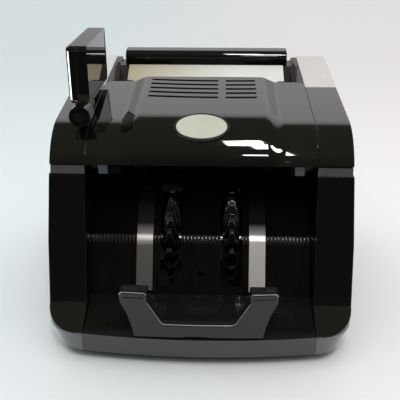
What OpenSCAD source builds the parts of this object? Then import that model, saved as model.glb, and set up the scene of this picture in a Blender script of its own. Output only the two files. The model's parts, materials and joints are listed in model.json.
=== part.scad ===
// Banknote counter: a desktop machine with a rear hopper, a front stacker and a folding display.
// Millimetres, +X to the operator's right, +Y to the back, +Z up, origin under the middle of the machine.

/* [Overall] */
// Width over the side cases
case_w = 259; // [252:1:270]
// Depth from the bowed front skirt to the back
case_d = 280; // [274:1:296]
// Clear width of the stacker pocket between the side cases
pocket_w = 195; // [190:1:198]
// Height of the rubber feet
foot_h = 3; // [2:0.5:5]
// Wall of the moulded shells
wall = 2.5; // [2:0.1:3]
// Clearance between neighbouring pieces
gap = 0.3; // [0.25:0.05:0.4]
// Running clearance of a shaft in its bore, on the radius
run_gap = 0.05; // [0.03:0.01:0.1]

/* [Side cases] */
// Height of the upright skirt
skirt_h = 17; // [14:0.5:18]
// How far the middle of the skirt bows forward of its ends
skirt_bow = 7; // [5:0.5:9]
// Radius of the front corners in plan
corner_r = 28; // [20:1:29]
// From the skirt back to the foot of the pillar
pillar_foot_back = 27; // [26:1:34]
// Height of the foot of the pillar
pillar_foot_z = 33; // [30:1:38]
// From the skirt back to the top of the pillar
pillar_top_back = 57; // [52:0.5:59]
// Height of the top of the pillar
pillar_top_z = 140; // [136:1:143]
// How far the sides draw in towards the top of the pillar
side_flare = 2; // [1:0.25:3]
// Height from which the sides draw in
flare_z = 85; // [75:1:100]
// How far the sides draw in below the edge of the skirt
base_draft = 6.5; // [3:0.5:8]
// Height of the recessed band above the pillar
band_h = 7; // [4:0.5:9]
// Depth of the recessed band
band_inset = 1.2; // [0.6:0.1:1.5]
// From the skirt back to where the side case opens inward
open_back = 103; // [96:1:112]

/* [Stacker] */
// From the skirt back to the lower end of the back plate
floor_back = 47; // [44:1:52]
// Rise of the stacker floor
floor_rise = 10; // [8:0.5:14]
// From the skirt back to the crest of the back plate
crest_back = 68; // [65:1:71]
// Height of the crest
crest_z = 73; // [70:1:76]
// Length of the upper slope of the back plate
slope_len = 63; // [56:1:66]
// Thickness of the back plate and the floor
plate_t = 2; // [1.6:0.1:2.4]
// Pitch of the fine ribs
rib_pitch = 2.15; // [1.8:0.05:3]
// Height of the fine ribs
rib_h = 0.6; // [0.4:0.1:0.8]
// Width of the steel guide strips
strip_w = 14.5; // [10:0.5:16]
// Thickness of the steel guide strips
strip_t = 0.6; // [0.4:0.1:1]
// Distance of each strip's middle from the centre line
strip_x = 50; // [48:0.5:54]

/* [Stacker wheels] */
// Distance of each wheel's middle from the centre line
wheel_x = 27; // [24:0.5:29]
// Width of a wheel
wheel_w = 14.5; // [12:0.5:16]
// Radius to the finger tips
wheel_r = 43; // [40:0.5:45]
// Radius of the hub
wheel_hub_r = 12; // [10:0.5:15]
// Number of fingers
wheel_fingers = 16; // [12:1:18]
// Thickness of a finger
finger_t = 1.8; // [1.4:0.1:2.2]
// Width of a finger tip
finger_tip_w = 3; // [2:0.5:6]
// From the skirt back to the wheel shaft
wheel_back = 89; // [88:0.5:92]
// Height of the wheel shaft
wheel_z = 64.5; // [62:0.5:67]

/* [Note stop] */
// Height of the top of the stop
stop_top_z = 63; // [58:0.5:70]
// Half width over the ears
stop_half = 64.5; // [62:0.5:70]
// Width of an ear
ear_w = 23; // [18:0.5:26]
// Half width at the foot
stop_foot_half = 53; // [51:0.5:56]
// Half width of the finger gap at its bottom
finger_gap_half = 29.5; // [24:0.5:31]
// Height of the crossbar's top
crossbar_z = 34; // [32:0.5:38]
// Depth of the ears at the top
ear_depth = 16; // [12:0.5:18]
// Diameter of the stop's pins
stop_pin_d = 2.5; // [2:0.1:2.8]

/* [Hood] */
// From the skirt back to the hood's front edge
hood_edge_back = 61; // [59:0.5:64]
// Radius of the hood's front
hood_front_r = 48; // [45:1:54]
// From the skirt back to the point that sets the hood's height
hood_mid_back = 122; // [118:1:126]
// Height of the hood there
hood_mid_z = 178; // [176:0.5:181]
// Slope of the hood's top, in degrees
hood_slope = 6.5; // [6:0.1:7]
// From the skirt back to the hood's rear edge
hood_rear_back = 190; // [186:1:193]
// Depth of the hood's rear lip
hood_lip = 14; // [8:1:15]
// Radius of the hood's rear corners
hood_corner_r = 8; // [4:0.5:10]
// Half width of the raised centre
pod_half = 59; // [54:1:62]
// Width of the raised centre's flanks
pod_flank = 8; // [6:0.5:10]
// Height of the raised centre
pod_rise = 5; // [3:0.5:6]
// Number of vent rows
vent_rows = 5; // [2:1:5]
// Pitch of the vent rows
vent_pitch = 10.5; // [8:0.5:11]
// Width of a vent slot
vent_w = 4.2; // [2:0.1:5]
// Distance of the last vent row from the rear edge
vent_rear = 11; // [8:0.5:13]
// Left end of the long vents
vent_left = -51; // [-53:1:-40]
// Length of the long vents
vent_long = 64.5; // [40:0.5:66]
// Length of the short vents
vent_short = 28.5; // [16:0.5:30]
// Solid width between the two groups of vents
vent_bar = 7; // [5:0.5:10]
// Radius of the bow of the vent rows
vent_bow_r = 700; // [400:10:1000]
// Width of the badge plate
badge_w = 43.4; // [36:0.2:48]
// Height of the badge plate
badge_h = 26.6; // [20:0.2:29]
// From the skirt back to the middle of the badge
badge_back = 82; // [80:0.5:85]
// Width of the badge bezel
badge_rim = 2; // [1.4:0.1:3]
// Distance of each clip's middle from the centre line
clip_x = 83; // [70:1:88]
// Size of the clips under the hood's edge
clip_s = 8; // [6:0.5:9]

/* [Rear and hopper] */
// From the skirt back to the front of the rear covers
cover_back = 178; // [174:1:182]
// Width of the steel feed plate
feed_plate_w = 162; // [158:1:166]
// Slope of the hopper, in degrees
hopper_slope = 26; // [24:0.5:28]
// Length of the feed plate
feed_plate_len = 110; // [106:1:112]
// From the skirt back to the top of the feed plate
feed_top_back = 241; // [238:0.5:243]
// Height of the top of the feed plate
feed_top_z = 191; // [189:0.5:192]
// Width of the rear bar
bar_w = 170; // [160:1:178]
// Depth of the rear bar
bar_d = 18; // [14:0.5:22]
// Height of the rear bar
bar_h = 16; // [12:0.5:20]
// Radius of the rear bar's front edge
bar_round = 7; // [3:0.5:9]
// Width between the note guides at rest
guide_span = 176; // [174:1:178]
// Height of the note guides
guide_h = 14; // [10:0.5:16]
// Length of the note guides
guide_len = 34; // [24:1:38]
// Travel of each note guide
guide_travel = 30; // [20:1:32]

/* [Display] */
// Length of the display
display_len = 93; // [80:1:94]
// Height of the display
display_h = 49; // [42:0.5:54]
// Thickness of the display
display_t = 18; // [16:0.5:19]
// From the skirt back to the display's front end
display_back = 91; // [88:1:92]
// Distance of the hinge from the centre line
hinge_x = 101.2; // [101:0.1:102]
// Height of the hinge
hinge_z = 185; // [184.8:0.1:186]
// Radius of the display's knuckle
knuckle_r = 9; // [8:0.1:9.2]
// Diameter of the hinge pin
hinge_pin_d = 5; // [4:0.5:6]

/* [Drive] */
// Diameter of the shafts
shaft_d = 6; // [5:0.5:7]
// Thickness of the side frames
frame_t = 2; // [1.5:0.1:2.4]
// Radius of the drive rollers
drive_r = 14; // [12:0.5:15]
// Radius of the pinch rollers
pinch_r = 8; // [7:0.5:9]
// Radius of the feed rollers
feed_r = 16; // [15:0.5:17]
// Radius of the retard rollers
retard_r = 9; // [8:0.5:10]
// From the skirt back to the drive shaft
drive_back = 135; // [133:0.5:137]
// Height of the drive shaft
drive_z = 120; // [118:0.5:122]
// Radius of the motor
motor_r = 22; // [18:0.5:23]
// Length of the motor
motor_len = 57; // [45:1:60]
// From the skirt back to the motor shaft
motor_back = 188; // [186:1:194]
// Height of the motor shaft
motor_z = 60; // [56:1:64]
// Width of one belt lane
lane_w = 6; // [5:0.2:7]
// Thickness of the belts
belt_t = 1.2; // [0.8:0.1:1.6]

/* [Hidden] */
$fn = 48;

half_w = case_w / 2;
top_half = half_w - side_flare;
base_half = half_w - base_draft;
pocket_half = pocket_w / 2;
inner_half = pocket_half - gap;
front_y = -case_d / 2 + skirt_bow;
rear_y = case_d / 2;
function at(back) = front_y + back;

// Heights of the skirt, the base pan and the seam under the hood
pan_t = 3;
pan_top = foot_h + pan_t;
skirt_top = foot_h + skirt_h;
edge_z = pillar_top_z + band_h;

// Corners of the stacker in the Y Z plane
floor_end = [at(floor_back), skirt_top + floor_rise];
crest = [at(crest_back), crest_z];
slope_angle = 45;
slope_end = crest + slope_len * [cos(slope_angle), sin(slope_angle)];
wheel_slot_half = wheel_w / 2 + 2.2;

// Hopper frame: a point at the top of the feed plate, down its slope and square to it
feed_top = [at(feed_top_back), feed_top_z];
hopper_down = [-cos(hopper_slope), -sin(hopper_slope)];
hopper_up = [-sin(hopper_slope), cos(hopper_slope)];
feed_plate_t = 1;
tray_t = 3;
cheek_t = 3;
tray_half = inner_half - frame_t - 0.7;
deck_t = 3;
deck_front = feed_top.x + gap;
deck_top = feed_top.y - feed_plate_t;

// Shafts in the Y Z plane
wheel_c = [at(wheel_back), wheel_z];
drive_c = [at(drive_back), drive_z];
roll_gap = 0.4;
pinch_c = drive_c + (drive_r + pinch_r + roll_gap) * [-cos(slope_angle), sin(slope_angle)];
feed_u = 93;
feed_proud = 3;
feed_c = feed_top + feed_u * hopper_down - (feed_r - feed_proud) * hopper_up;
retard_c = feed_c + (feed_r + retard_r + roll_gap) * hopper_up;
motor_c = [at(motor_back), motor_z];
feed_roller_x = 35;
feed_roller_w = 14;
drive_roller_xs = [-60, -20, 20, 60];
drive_roller_w = 10;

// Side frames, bearings and belt lanes along X
frame_in = inner_half - frame_t - 0.2;
frame_out = frame_in + frame_t;
bush_r = shaft_d / 2 + 3;
bush_flange_r = bush_r + 2;
bush_flange_t = 1.2;
lane_x = frame_out + 1.5;
shaft_end_x = lane_x + 2 * lane_w;
flange_h = 2;
flange_t = 0.7;
motor_boss_r = 6;
cable_hole_r = 10;
cable_hole_back = 27.5;

// Pulleys: the motor turns the drive shaft, which turns the stacker and the feed shafts
motor_pulley_r = 8;
drive_pulley_r = 14;
stacker_drive_r = 8;
stacker_pulley_r = 24;
feed_pulley_r = 12;
feed_drive_r = 9;

// Note stop
stop_axis = [front_y - 0.8, skirt_top + 4];
stop_inset = 1;
stop_front = front_y - skirt_bow + stop_inset;
stop_bottom = skirt_top + 0.7;
lug_x = 41;
lug_w = 5.4;
lug_r = 2.6;
lug_neck = 3.2;

// Display and its hinge, whose axis runs along Y
display_y = [at(display_back), at(display_back) + display_len];
display_face = -hinge_x + 5.8;
display_rear = display_face - display_t;
display_seam = display_face - 9.5;
display_lift = 5.4;
display_z = [hinge_z + display_lift, hinge_z + display_lift + display_h];
knuckle_y = [display_y[0] - 19, display_y[0] - gap];
bracket_y = [knuckle_y[1] + gap, knuckle_y[1] + 26];
bracket_r = display_lift - gap - 0.1;
// Foot of the hinge bracket: its nearest and farthest corners
bracket_foot = [[-hinge_x - 4.5, bracket_y[0] + 4, hinge_z - 22],
                [-hinge_x + 3, bracket_y[1] - 4, hinge_z - 3]];

// Rear panel fittings
inlet_c = [62, 32];
switch_c = [25, 32];

// Note guides
guide_t = 3;
// The front end of a guide stays clear of the hood's lip
guide_front_y = at(hood_rear_back) + 1 + (guide_h + 1) * sin(hopper_slope);
guide_front_u = (feed_top.x - guide_front_y) / cos(hopper_slope);
guide_u = guide_front_u - guide_len / 2;
guide_foot = 14;
rod_d = 5;
rod_drop = 12;
tail_w = 6;
guide_in = guide_span / 2;
tail_x = guide_in - guide_foot;

// Fasteners and feet
screw_d = 3;
boss_r = 4;
boss_x = base_half - 10;
boss_ys = [at(60), at(150), rear_y - 30];
foot_r = 9;
foot_xy = [[half_w - 28, at(40)], [half_w - 28, rear_y - 24]];

function unit(v) = v / norm(v);

// Arc that rounds the corner p1 of an outline with radius r
function corner(p0, p1, p2, r, n) =
    let (u = unit(p0 - p1), v = unit(p2 - p1), half = acos(u * v) / 2)
    let (c = p1 + unit(u + v) * r / sin(half), a = p1 + u * r / tan(half), b = p1 + v * r / tan(half))
    let (a0 = atan2(a.y - c.y, a.x - c.x), turn = atan2(b.y - c.y, b.x - c.x) - a0)
    let (d = turn > 180 ? turn - 360 : turn < -180 ? turn + 360 : turn)
    [for (i = [0:n]) c + r * [cos(a0 + d * i / n), sin(a0 + d * i / n)]];

// Outline from points [x, y, corner radius]
function rounded(pts, n = 6) =
    let (k = len(pts), p = [for (q = pts) [q.x, q.y]])
    [for (i = [0:k - 1])
        each pts[i][2] > 0 ? corner(p[(i + k - 1) % k], p[i], p[(i + 1) % k], pts[i][2], n) : [p[i]]];

function box_outline(w, h, r) =
    rounded([[-w / 2, -h / 2, r], [w / 2, -h / 2, r], [w / 2, h / 2, r], [-w / 2, h / 2, r]]);

function oval(w, h, n = 48) = [for (i = [0:n - 1]) [w / 2 * cos(360 * i / n), h / 2 * sin(360 * i / n)]];

// Extrudes a Y Z outline along X
module along_x(x0, x1) {
    translate([x0, 0, 0]) rotate([90, 0, 90]) linear_extrude(x1 - x0) children();
}

// Extrudes an X Z outline along Y
module along_y(y0, y1) {
    translate([0, y1, 0]) rotate([90, 0, 0]) linear_extrude(y1 - y0) children();
}

module both_sides() {
    children();
    mirror([1, 0, 0]) children();
}

module rod_x(c, d, x0, x1) {
    along_x(x0, x1) translate(c) circle(d = d);
}

module bored_x(c, r, bore_r, x0, x1) {
    along_x(x0, x1) translate(c) difference() {
        circle(r);
        circle(bore_r);
    }
}

// Hood surface: a sloped top and a round front that starts at the hood's edge
slope_dir = [cos(hood_slope), sin(hood_slope)];
slope_up = [-sin(hood_slope), cos(hood_slope)];
hood_edge = [at(hood_edge_back), edge_z];
function hood_z(y) = hood_mid_z + (y - at(hood_mid_back)) * tan(hood_slope);
function front_centre(rise) =
    let (low = [at(hood_mid_back), hood_mid_z + rise] - hood_front_r * slope_up, w = hood_edge - low)
    low + (w * slope_dir + sqrt(pow(hood_front_r, 2) - pow(w * slope_up, 2))) * slope_dir;
function front_arc(rise, inset, n = 24) =
    let (c = front_centre(rise), a0 = atan2(hood_edge.y - c.y, hood_edge.x - c.x), a1 = 90 + hood_slope)
    [for (i = [0:n]) let (a = a0 + (a1 - a0) * i / n) c + (hood_front_r - inset) * [cos(a), sin(a)]];

module hood_section(rise, inset, rear, front_low, rear_low) {
    arc = front_arc(rise, inset);
    polygon(concat([[arc[0].x, front_low]], arc,
                   [[rear, hood_z(rear) + rise - inset / cos(hood_slope)], [rear, rear_low]]));
}

// Raised centre: its flanks fall in a soft S, drawn as a skin over a row of hood outlines
pod_soft = 4;
pod_in = pod_half - pod_soft;
module pod_flank_skin(rear, rear_low) {
    steps = 6;
    wide = pod_flank + 2 * pod_soft;
    rows = [for (i = [0:steps]) let (s = i / steps, rise = pod_rise * (1 - s * s * (3 - 2 * s)))
        concat(front_arc(rise, 0), [[rear, hood_z(rear) + rise], [rear, rear_low]])];
    n = len(rows[0]);
    points = [for (i = [0:steps], p = rows[i]) [pod_in + wide * i / steps, p.x, p.y]];
    sides = [for (i = [0:steps - 1], k = [0:n - 1]) let (a = i * n + k, b = i * n + (k + 1) % n)
        each [[a, b, b + n], [a, b + n, a + n]]];
    caps = [[for (k = [1:n]) n - k], [for (k = [0:n - 1]) steps * n + k]];
    polyhedron(points, concat(sides, caps));
}

badge_arc_c = front_centre(pod_rise);
badge_a = acos((at(badge_back) - badge_arc_c.x) / hood_front_r);
module at_badge() {
    translate([0, at(badge_back), badge_arc_c.y + hood_front_r * sin(badge_a)])
        rotate([badge_a - 90, 0, 0]) children();
}

module vents() {
    low = hood_mid_z - 20;
    groups = [[vent_left, vent_long], [vent_left + vent_long + vent_bar, vent_short]];
    for (i = [0:vent_rows - 1], g = groups) {
        row_y = at(hood_rear_back) - vent_rear - i * vent_pitch;
        translate([0, 0, low]) linear_extrude(60) intersection() {
            translate([vent_left + vent_long, row_y + vent_bow_r]) difference() {
                circle(vent_bow_r + vent_w / 2, $fn = 360);
                circle(vent_bow_r - vent_w / 2, $fn = 360);
            }
            translate([g[0], row_y - vent_w]) square([g[1], 5 * vent_w]);
        }
    }
}

module hood() {
    rear = at(hood_rear_back);
    deep = edge_z - 10;
    lip_z = hood_z(rear) - hood_lip;
    color("#15100e") difference() {
        union() {
            along_x(-inner_half, inner_half) hood_section(0, 0, rear, edge_z, lip_z);
            along_x(-pod_in, pod_in) hood_section(pod_rise, 0, rear, edge_z, lip_z);
            both_sides() pod_flank_skin(rear, lip_z);
        }
        along_x(-half_w, half_w) hood_section(0, wall, rear - wall, deep, deep);
        along_x(-pod_in, pod_in) hood_section(pod_rise, wall, rear - wall, deep, deep);
        vents();
        at_badge() translate([0, 0, -15]) linear_extrude(30)
            polygon(oval(badge_w + 2 * (badge_rim + gap), badge_h + 2 * (badge_rim + gap)));
        // Round rear corners
        both_sides() translate([inner_half - hood_corner_r, rear - hood_corner_r, deep]) difference() {
            cube([2 * hood_corner_r, 2 * hood_corner_r, edge_z]);
            translate([0, 0, -1]) cylinder(r = hood_corner_r, h = edge_z + 2);
        }
    }
}

module badge_bezel() {
    color("#0c0c0c") at_badge() difference() {
        translate([0, 0, -7]) linear_extrude(8)
            polygon(oval(badge_w + 2 * badge_rim, badge_h + 2 * badge_rim));
        translate([0, 0, -1]) linear_extrude(5) polygon(oval(badge_w + 2 * run_gap, badge_h + 2 * run_gap));
    }
}

module badge_plate() {
    color("#cdd0be") at_badge() translate([0, 0, -1]) linear_extrude(2.4) polygon(oval(badge_w, badge_h));
}

// Two pale clips that hang from the inside of the hood's front edge
module hood_clips() {
    arc = front_arc(0, wall);
    color("#b9cbd2") both_sides() along_x(clip_x - clip_s / 2, clip_x + clip_s / 2)
        polygon([arc[0], arc[0] - [0, clip_s], arc[0] + [4, -clip_s], arc[2] + [4, -1], arc[2], arc[1]]);
}

// Plan of one side case, inset from its outside
function case_outline(inset, inner_x, half = half_w) =
    let (x1 = half - inset, y0 = front_y + inset, y1 = rear_y - inset)
    rounded([[inner_x, y0, 0], [x1, y0, corner_r - inset], [x1, y1, 4], [inner_x, y1, 0]], 10);

// Prism between two heights that leans: its bottom stands further in than its top
module leaning(outline, z0, z1, lean) {
    n = len(outline);
    polyhedron(concat([for (p = outline) [p.x - lean, p.y, z0]], [for (p = outline) [p.x, p.y, z1]]),
               concat([[for (i = [0:n - 1]) i]], [[for (i = [1:n]) 2 * n - i]],
                      [for (i = [0:n - 1]) [i, n + i, n + (i + 1) % n, (i + 1) % n]]));
}

// Outside of a side case: it leans in below the edge of the skirt and draws in towards the top
module case_form(inset) {
    low = foot_h - 2;
    x = half_w - inset;
    difference() {
        union() {
            leaning(case_outline(inset, 0), low, skirt_top, base_draft * (skirt_h + 2) / skirt_h);
            translate([0, 0, skirt_top]) linear_extrude(edge_z) polygon(case_outline(inset, 0));
        }
        along_y(-case_d, case_d)
            polygon([[x, flare_z], [x - side_flare, pillar_top_z], [x - side_flare, 2 * edge_z],
                     [x + wall, 2 * edge_z], [x + wall, flare_z]]);
    }
}

module side_case_body() {
    foot = [at(pillar_foot_back), pillar_foot_z];
    top = [at(pillar_top_back), pillar_top_z];
    difference() {
        intersection() {
            along_x(pocket_half, half_w)
                polygon(rounded([[front_y, foot_h, 0], [front_y, skirt_top, 2],
                                 [foot.x, foot.y, 2], [top.x, top.y, 0],
                                 [top.x + band_inset, top.y, 0], [top.x + band_inset + 1, edge_z, 0],
                                 [rear_y, edge_z, 0], [rear_y, foot_h, 0]]));
            case_form(0);
        }
        // Recessed band round the outside
        difference() {
            translate([pocket_half - 1, front_y, pillar_top_z]) cube([half_w, case_d, band_h + 1]);
            translate([0, 0, pillar_top_z - 1]) linear_extrude(band_h + 3)
                polygon(case_outline(band_inset, pocket_half - 2, top_half));
        }
        // Hollow of the pillar and the base
        intersection() {
            along_x(pocket_half + wall, half_w)
                polygon([[front_y + wall, foot_h - 1], [front_y + wall, skirt_top - wall],
                         [foot.x + wall, foot.y - wall], [top.x + wall + 1.5, edge_z + 1],
                         [rear_y - wall, edge_z + 1], [rear_y - wall, foot_h - 1]]);
            case_form(wall);
        }
        // The rear part opens towards the frames, and the inner wall stands on the base pan
        translate([pocket_half - 1, at(open_back), foot_h - 1])
            cube([wall + 2, rear_y - wall - at(open_back), edge_z]);
        translate([pocket_half - 1, front_y + wall, foot_h - 1])
            cube([wall + 2, rear_y - front_y - 2 * wall, pan_t + 1]);
    }
    // Screw bosses, each with a web to the wall
    for (y = boss_ys) translate([boss_x, y, pan_top]) {
        cylinder(r = boss_r, h = 30);
        translate([boss_r - 0.5, -1.25, 0]) cube([base_half + 1 - boss_x - boss_r, 2.5, 28]);
    }
}

module side_case() {
    difference() {
        side_case_body();
        for (y = boss_ys) translate([boss_x, y, pan_top - 1]) cylinder(d = screw_d + 2 * run_gap, h = 16);
    }
}

// The right one lets the stacker shaft through to its pulley
module right_side_case() {
    color("#0e0c0b") difference() {
        side_case();
        rod_x(wheel_c, shaft_d + 4, pocket_half - 1, pocket_half + wall + 1);
    }
}

module left_side_case() { color("#0e0c0b") mirror([1, 0, 0]) side_case(); }

module upper_case() {
    rear = at(cover_back);
    difference() {
        along_x(pocket_half, top_half) hood_section(0, 0, rear, edge_z, edge_z);
        along_x(pocket_half + wall, top_half - wall)
            hood_section(0, wall, rear - wall, edge_z - 1, edge_z - 1);
    }
}

module right_upper_case() { color("#15100e") upper_case(); }

// The left upper case has a slot for the foot of the display's bracket
module left_upper_case() {
    slot = bracket_foot[1] - bracket_foot[0] + 2 * gap * [1, 1, 0] + [0, 0, 40];
    color("#15100e") difference() {
        mirror([1, 0, 0]) upper_case();
        translate(bracket_foot[0] - gap * [1, 1, 0]) cube(slot);
    }
}

module rear_cover() {
    y0 = at(cover_back);
    difference() {
        along_x(pocket_half, top_half)
            polygon(rounded([[y0, edge_z, 0], [y0, hood_z(y0), 0],
                             [rear_y, hood_z(rear_y), 4], [rear_y, edge_z, 0]]));
        along_x(pocket_half + wall, top_half - wall)
            polygon([[y0 + wall, edge_z - 1], [y0 + wall, hood_z(y0 + wall) - wall],
                     [rear_y - wall, hood_z(rear_y - wall) - wall], [rear_y - wall, edge_z - 1]]);
    }
}

module right_rear_cover() { color("#bdb9b2") rear_cover(); }
module left_rear_cover() { color("#bdb9b2") mirror([1, 0, 0]) rear_cover(); }

module base_pan() {
    fit = wall + gap;
    hx = base_half - fit;
    color("#1b1b1c") difference() {
        translate([0, 0, foot_h]) linear_extrude(pan_t)
            polygon(rounded([[-hx, front_y + fit, corner_r - fit], [hx, front_y + fit, corner_r - fit],
                             [hx, rear_y - fit, 4], [-hx, rear_y - fit, 4]], 10));
        both_sides() for (y = boss_ys) translate([boss_x, y, 0])
            cylinder(d = screw_d + 2 * run_gap, h = 3 * pan_top);
    }
    for (x = board_xs, y = board_ys) translate([x, y, pan_top]) cylinder(d = 7, h = board_lift);
}

module rubber_feet() {
    color("#202020") both_sides() for (p = foot_xy) translate([p.x, p.y, 0])
        cylinder(r1 = foot_r - 1, r2 = foot_r, h = foot_h);
}

module case_screws() {
    head_t = 1.6;
    color("#9a9a98") both_sides() for (y = boss_ys) translate([boss_x, y, 0]) {
        translate([0, 0, foot_h - head_t]) cylinder(d = 2 * screw_d, h = head_t);
        translate([0, 0, foot_h - head_t]) cylinder(d = screw_d, h = pan_t + head_t + 12);
    }
}

// Fine ribs on a strip of plate: an X Z comb, its top at rib_h
module comb(half, thick) {
    n = floor(2 * half / rib_pitch);
    w = rib_pitch / 2;
    x0 = -n * rib_pitch / 2 + w / 2;
    polygon(concat([[half, 0], [half, -thick], [-half, -thick], [-half, 0]],
                   [for (i = [0:n - 1], p = [[0, 0], [0.2, rib_h], [w - 0.2, rib_h], [w, 0]])
                       [x0 + i * rib_pitch + p.x, p.y]]));
}

// A ribbed plate between two points of the Y Z plane, its plain face on the line through them
module ribbed_plate(low, high, half, thick) {
    run = high - low;
    translate([0, high.x, high.y]) rotate([atan2(run.y, run.x), 0, 0]) rotate([90, 0, 0])
        linear_extrude(norm(run)) comb(half, thick);
}

bow_r = (pow(pocket_half, 2) + pow(skirt_bow, 2)) / (2 * skirt_bow);
module bow_disc(inset) {
    translate([0, front_y - skirt_bow + bow_r, 0]) linear_extrude(2 * edge_z)
        circle(bow_r - inset, $fn = 360);
}

// Bowed skirt and ribbed floor in one moulding, with two lugs for the note stop
module front_tray() {
    lip = front_y + 4;
    lip_end = [lip, skirt_top];
    floor_tip = floor_end - [gap + rib_h, 0];
    color("#12100f") {
        difference() {
            intersection() {
                translate([-inner_half, -case_d, foot_h]) cube([2 * inner_half, lip + case_d, skirt_h]);
                bow_disc(0);
            }
            intersection() {
                translate([-half_w, -case_d, foot_h - 1])
                    cube([2 * half_w, lip + case_d + 1, skirt_h + 1 - plate_t]);
                bow_disc(wall);
            }
        }
        ribbed_plate(lip_end - 3.5 * unit(floor_tip - lip_end), floor_tip, inner_half, plate_t);
        both_sides() along_x(lug_x - lug_w / 2, lug_x + lug_w / 2) difference() {
            union() {
                translate(stop_axis) circle(lug_r);
                translate([stop_axis.x - lug_neck / 2, skirt_top - plate_t])
                    square([lug_neck, stop_axis.y - skirt_top + plate_t]);
            }
            translate(stop_axis) circle(d = stop_pin_d + 2 * run_gap);
        }
    }
}

module wheel_slots(margin) {
    both_sides() translate([wheel_x - wheel_slot_half, floor_end.x - 30, floor_end.y + margin])
        cube([2 * wheel_slot_half, case_d, slope_end.y - floor_end.y - 2 * margin]);
}

module stacker_back_plate() {
    color("#141211") difference() {
        union() {
            ribbed_plate(floor_end, crest, inner_half, plate_t);
            ribbed_plate(crest, slope_end, inner_half, plate_t);
            along_x(-inner_half, inner_half) translate(crest + plate_t / 2 * [0.9, -0.4])
                circle(plate_t / 2);
        }
        wheel_slots(6);
        translate([sensor_c.x, 0, sensor_c.y]) rotate([90, 0, 0])
            cylinder(d = sensor_d + 2 * run_gap, h = 4 * case_d, center = true);
    }
}

// Window of the sensor that sees notes in the stacker
sensor_d = 7;
sensor_c = [0, (floor_end.y + crest.y) / 2 - 4];
module stack_sensor() {
    f = (sensor_c.y - floor_end.y) / (crest.y - floor_end.y);
    y = floor_end.x + f * (crest.x - floor_end.x);
    color("#3a1512") translate([sensor_c.x, y - 1, sensor_c.y]) rotate([-90, 0, 0])
        cylinder(d = sensor_d, h = 8);
}

// A bright strip that lies on the ribs, bends over the crest and follows the upper slope
module guide_strip() {
    lift = rib_h + 0.1;
    lower = unit(crest - floor_end);
    upper = unit(slope_end - crest);
    out_l = [-lower.y, lower.x];
    out_u = [-upper.y, upper.x];
    out_c = unit(out_l + out_u) / cos(acos(out_l * out_u) / 2);
    start = floor_end + 3 * lower;
    stop = crest + (slope_len - 12) * upper;
    along_x(strip_x - strip_w / 2, strip_x + strip_w / 2)
        polygon([start + lift * out_l, crest + lift * out_c, stop + lift * out_u,
                 stop + (lift + strip_t) * out_u, crest + (lift + strip_t) * out_c,
                     start + (lift + strip_t) * out_l]);
}

module right_guide_strip() { color("#c9c6c0") guide_strip(); }
module left_guide_strip() { color("#c9c6c0") mirror([1, 0, 0]) guide_strip(); }

// U-shaped stop that stands at the front of the tray and tilts about two pins in its feet
module note_stop() {
    ear_in = stop_half - ear_w;
    waist = (stop_half + stop_foot_half) / 2;
    side_right = [[stop_foot_half, stop_bottom, 2], [waist, crossbar_z + 8, 14],
                  [stop_half, stop_top_z - 9, 8], [stop_half, stop_top_z, 3],
                  [ear_in, stop_top_z, 3], [ear_in, stop_top_z - 9, 6],
                  [finger_gap_half, crossbar_z, 5]];
    count = len(side_right);
    side_left = [for (i = [0:count - 1]) let (q = side_right[count - 1 - i]) [-q.x, q.y, q[2]]];
    rear_foot = stop_axis.x + 4;
    color("#1c1b1b") difference() {
        intersection() {
            along_y(front_y - 20, front_y + 30) polygon(rounded(concat(side_right, side_left)));
            along_x(-stop_half - 1, stop_half + 1)
                polygon(rounded([[stop_front - 1, skirt_top + 2.4, 0], [stop_front - 1, stop_top_z, 0],
                                 [stop_front + ear_depth, stop_top_z, 2], [rear_foot, stop_bottom + 4, 0],
                                 [rear_foot, stop_bottom, 0], [stop_front + 3.5, stop_bottom, 0]]));
            bow_disc(stop_inset);
        }
        // The crossbar is thinner than the ears
        translate([-finger_gap_half - 3, stop_front + 7, 0])
            cube([2 * finger_gap_half + 6, 40, stop_top_z + 1]);
        both_sides() {
            translate([lug_x - lug_w / 2 - gap, stop_axis.x - lug_r - gap, 0])
                cube([lug_w + 2 * gap, 40, stop_axis.y + lug_r + 1.4]);
            rod_x(stop_axis, stop_pin_d + 2 * run_gap, lug_x - 8.2, lug_x + 8.2);
        }
        // Shallow groove across each ear
        both_sides() difference() {
            translate([stop_half - ear_w + 3, stop_front - 1, stop_top_z - 5]) cube([ear_w - 7, 12, 1.4]);
            bow_disc(stop_inset + 0.6);
        }
    }
}

module stop_pins() {
    color("#a9a9a6") both_sides() rod_x(stop_axis, stop_pin_d, lug_x - 8, lug_x + 8);
}

module in_hopper() {
    translate([0, feed_top.x, feed_top.y]) rotate([hopper_slope, 0, 0]) children();
}

// Slots for the feed rollers and for the tails of the note guides, in the hopper frame
module hopper_slots() {
    half = feed_roller_w / 2 + 1.5;
    reach = sqrt(pow(feed_r, 2) - pow(feed_r - feed_proud - feed_plate_t - tray_t, 2)) + 1;
    both_sides() {
        translate([feed_roller_x - half, -feed_u - reach, -20]) cube([2 * half, 2 * reach, 40]);
        translate([tail_x - guide_travel - 1, -guide_u - tail_w / 2 - 0.5, -8])
            cube([guide_travel + tail_w + 2, tail_w + 1, 16]);
    }
}

module feed_plate() {
    color("#c8c3b6") in_hopper() difference() {
        translate([-feed_plate_w / 2, -feed_plate_len, -feed_plate_t])
            cube([feed_plate_w, feed_plate_len, feed_plate_t]);
        hopper_slots();
    }
}

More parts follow.
